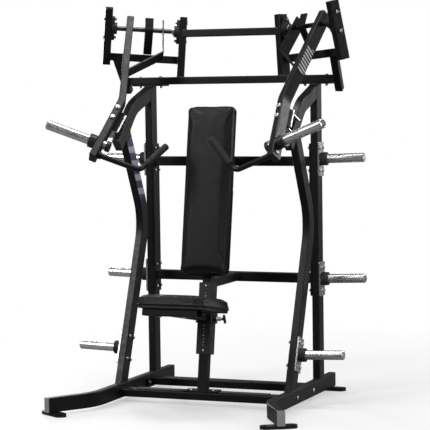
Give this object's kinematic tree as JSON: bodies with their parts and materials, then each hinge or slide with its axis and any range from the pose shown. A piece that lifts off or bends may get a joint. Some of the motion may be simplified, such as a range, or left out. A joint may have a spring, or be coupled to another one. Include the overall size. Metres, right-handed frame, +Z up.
{
  "type": "chest press machine",
  "caption": "Plate-loaded incline chest press: welded side frames, independent swinging arms with plate horns and swivel handles, fixed back pad, sliding seat, plate storage pegs.",
  "frame": {"origin": "on the floor, midway between the two rear feet, in the machine's mid-plane", "axes": "+Z up; +Y towards the back of the machine, so the user sits facing -Y; +X to the side of the seat's locking pin"},
  "size_m": [1.513, 1.255, 2.07],
  "materials": {
    "black_steel": "satin powder coat over welded steel tube and plate",
    "rubber": "matt moulded rubber",
    "bright_steel": "zinc-plated steel",
    "chrome": "polished chrome plate over steel tube",
    "black_plastic": "moulded black nylon",
    "grey_plastic": "moulded light grey plastic",
    "zinc_fasteners": "zinc-plated fasteners",
    "bearing_iron": "painted bearing housing",
    "bearing_steel": "ground bearing steel",
    "shaft_steel": "blackened ground shaft",
    "upholstery": "black upholstery vinyl over foam",
    "plywood": "black painted plywood"
  },
  "bodies": {
    "frame": {"side_rails": "black_steel", "foot_plates": "black_steel", "front_base_crossbar": "black_steel", "rear_base_crossbar": "black_steel", "upright_left": "black_steel", "upright_right": "black_steel", "front_legs": "black_steel", "arches": "black_steel", "side_plates": "black_steel", "rear_crossbars": "black_steel", "top_crossbar": "black_steel", "inner_posts": "black_steel", "outer_posts": "black_steel", "shoulder_tubes": "black_steel", "guard_plates": "black_steel", "link_tube": "black_steel", "seat_post": "black_steel", "foot_pads": "rubber", "tread_strips": "rubber", "peg_collars": "rubber", "peg_brackets": "bright_steel", "stop_brackets": "bright_steel", "storage_pegs": "chrome", "black_tube_caps": "black_plastic", "post_sleeve": "black_plastic", "rail_end_caps": "grey_plastic", "frame_bolts": "zinc_fasteners", "frame_nuts": "zinc_fasteners", "small_screws": "zinc_fasteners", "bearing_housings": "bearing_iron", "bearing_balls": "bearing_steel", "back_pad": "upholstery", "back_board": "plywood"},
    "arm_left": {"arm_tube_left": "black_steel", "arm_shaft_left": "shaft_steel", "arm_caps_left": "black_plastic", "arm_bolts_left": "zinc_fasteners", "bumper_left": "rubber", "horn_left": "chrome", "bearing_rings_left": "bearing_steel"},
    "handle_left": {"handle_bar_left": "black_steel", "handle_grip_left": "rubber"},
    "arm_right": {"arm_tube_right": "black_steel", "arm_shaft_right": "shaft_steel", "arm_caps_right": "black_plastic", "arm_bolts_right": "zinc_fasteners", "bumper_right": "rubber", "horn_right": "chrome", "bearing_rings_right": "bearing_steel"},
    "handle_right": {"handle_bar_right": "black_steel", "handle_grip_right": "rubber"},
    "seat_carriage": {"seat_pad": "upholstery", "seat_board": "plywood", "seat_frame": "black_steel", "carriage_liner": "black_plastic", "seat_bolts": "zinc_fasteners", "pin_housing": "bright_steel"},
    "pop_pin": {"pop_pin": "bright_steel", "pin_spring": "bright_steel", "pin_knob": "black_plastic"}
  },
  "joints": [
    {"name": "arm_right_swing", "type": "hinge", "parent": "frame", "child": "arm_right", "pos_m": [0.464, -0.248, 1.9425], "axis": [-0.8888, 0.4529, -0.0698], "range_deg": [0, 45]},
    {"name": "arm_left_swing", "type": "hinge", "parent": "frame", "child": "arm_left", "pos_m": [-0.464, -0.248, 1.9425], "axis": [-0.8888, -0.4529, 0.0698], "range_deg": [0, 45]},
    {"name": "handle_right_turn", "type": "hinge", "parent": "arm_right", "child": "handle_right", "pos_m": [0.48723, -0.85471, 1.30236], "axis": [-0.914, 0.2114, -0.3462], "range_deg": [0, 44]},
    {"name": "handle_left_turn", "type": "hinge", "parent": "arm_left", "child": "handle_left", "pos_m": [-0.48723, -0.85471, 1.30236], "axis": [0.914, 0.2114, -0.3462], "range_deg": [0, 44]},
    {"name": "seat_height", "type": "slide", "parent": "frame", "child": "seat_carriage", "axis": [0, 0.1668, 0.986], "range_m": [-0.102, 0.102]},
    {"name": "pin_pull", "type": "slide", "parent": "seat_carriage", "child": "pop_pin", "axis": [1, 0, 0], "range_m": [-0.008, 0], "deforming": ["pin_spring"]}
  ]
}
